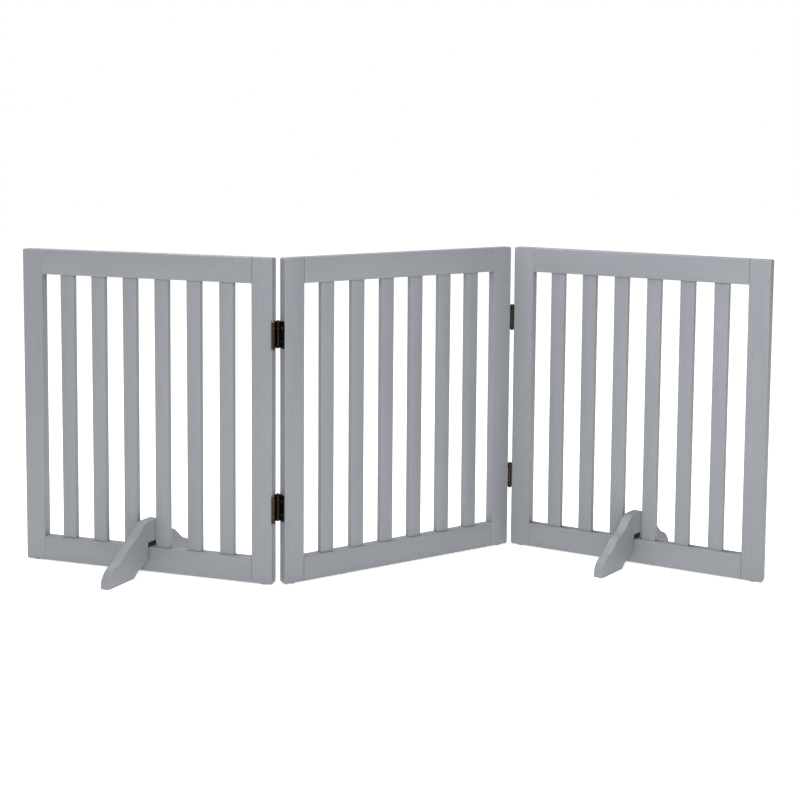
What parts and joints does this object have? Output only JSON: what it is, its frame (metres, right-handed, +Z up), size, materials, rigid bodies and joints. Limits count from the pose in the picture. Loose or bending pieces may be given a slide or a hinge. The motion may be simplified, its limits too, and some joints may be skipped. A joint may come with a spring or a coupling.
{
  "type": "folding pet gate",
  "caption": "Free-standing folding pet gate: slatted wooden panels joined by two-way folding hinges, with lift-off feet that straddle the bottom rails.",
  "frame": {"origin": "on the floor, under the middle of the whole gate's bounding box as it stands", "axes": "+X along the middle panel from left to right seen from the front, +Y from front to rear, +Z up"},
  "size_m": [1.1265, 0.8983, 0.61],
  "materials": {
    "painted_wood": "satin grey paint on wood",
    "dowel_wood": "bare beech",
    "hinge_bronze": "dark antique bronze",
    "fastener_bronze": "dark antique bronze, worn on the heads",
    "foam": "matt black foam rubber",
    "glide_plastic": "matt dark nylon"
  },
  "bodies": {
    "middle_panel": {"middle_panel_left_stile": "painted_wood", "middle_panel_right_stile": "painted_wood", "middle_panel_top_rail": "painted_wood", "middle_panel_bottom_rail": "painted_wood", "middle_panel_dowels": "dowel_wood", "middle_panel_glides": "glide_plastic", "middle_panel_hinge_screws": "fastener_bronze", "middle_panel_hinge_pins": "fastener_bronze", "middle_panel_slat_1": "painted_wood", "middle_panel_slat_2": "painted_wood", "middle_panel_slat_3": "painted_wood", "middle_panel_slat_4": "painted_wood", "middle_panel_slat_5": "painted_wood", "middle_panel_slat_6": "painted_wood", "left_hinge_lower_inner_leaf": "hinge_bronze", "left_hinge_upper_inner_leaf": "hinge_bronze", "right_hinge_lower_inner_leaf": "hinge_bronze", "right_hinge_upper_inner_leaf": "hinge_bronze"},
    "left_link": {"left_hinge_lower_link": "hinge_bronze", "left_hinge_upper_link": "hinge_bronze"},
    "left_panel": {"left_panel_left_stile": "painted_wood", "left_panel_right_stile": "painted_wood", "left_panel_top_rail": "painted_wood", "left_panel_bottom_rail": "painted_wood", "left_panel_dowels": "dowel_wood", "left_panel_glides": "glide_plastic", "left_panel_hinge_screws": "fastener_bronze", "left_panel_hinge_pins": "fastener_bronze", "left_panel_slat_1": "painted_wood", "left_panel_slat_2": "painted_wood", "left_panel_slat_3": "painted_wood", "left_panel_slat_4": "painted_wood", "left_panel_slat_5": "painted_wood", "left_panel_slat_6": "painted_wood", "left_hinge_lower_outer_leaf": "hinge_bronze", "left_hinge_upper_outer_leaf": "hinge_bronze"},
    "left_foot": {"left_foot": "painted_wood", "left_foot_pad": "foam"},
    "right_link": {"right_hinge_lower_link": "hinge_bronze", "right_hinge_upper_link": "hinge_bronze"},
    "right_panel": {"right_panel_left_stile": "painted_wood", "right_panel_right_stile": "painted_wood", "right_panel_top_rail": "painted_wood", "right_panel_bottom_rail": "painted_wood", "right_panel_dowels": "dowel_wood", "right_panel_glides": "glide_plastic", "right_panel_hinge_screws": "fastener_bronze", "right_panel_hinge_pins": "fastener_bronze", "right_panel_slat_1": "painted_wood", "right_panel_slat_2": "painted_wood", "right_panel_slat_3": "painted_wood", "right_panel_slat_4": "painted_wood", "right_panel_slat_5": "painted_wood", "right_panel_slat_6": "painted_wood", "right_hinge_lower_outer_leaf": "hinge_bronze", "right_hinge_upper_outer_leaf": "hinge_bronze"},
    "right_foot": {"right_foot": "painted_wood", "right_foot_pad": "foam"}
  },
  "joints": [
    {"name": "left_rear_fold", "type": "hinge", "parent": "middle_panel", "child": "left_link", "pos_m": [-0.22467, 0.03855, 0], "axis": [0, 0, -1], "range_deg": [-52, 98]},
    {"name": "left_front_fold", "type": "hinge", "parent": "left_link", "child": "left_panel", "pos_m": [-0.2428, 0.02439, 0], "axis": [0, 0, -1], "range_deg": [-150, 0]},
    {"name": "right_front_fold", "type": "hinge", "parent": "middle_panel", "child": "right_link", "pos_m": [0.30133, 0.01555, 0], "axis": [0, 0, -1], "range_deg": [-63, 87]},
    {"name": "right_rear_fold", "type": "hinge", "parent": "right_link", "child": "right_panel", "pos_m": [0.32182, 0.026, 0], "axis": [0, 0, -1], "range_deg": [-150, 0]},
    {"name": "left_foot_lift", "type": "slide", "parent": "left_panel", "child": "left_foot", "axis": [0, 0, 1], "range_m": [0, 0.06]},
    {"name": "right_foot_lift", "type": "slide", "parent": "right_panel", "child": "right_foot", "axis": [0, 0, 1], "range_m": [0, 0.06]}
  ]
}
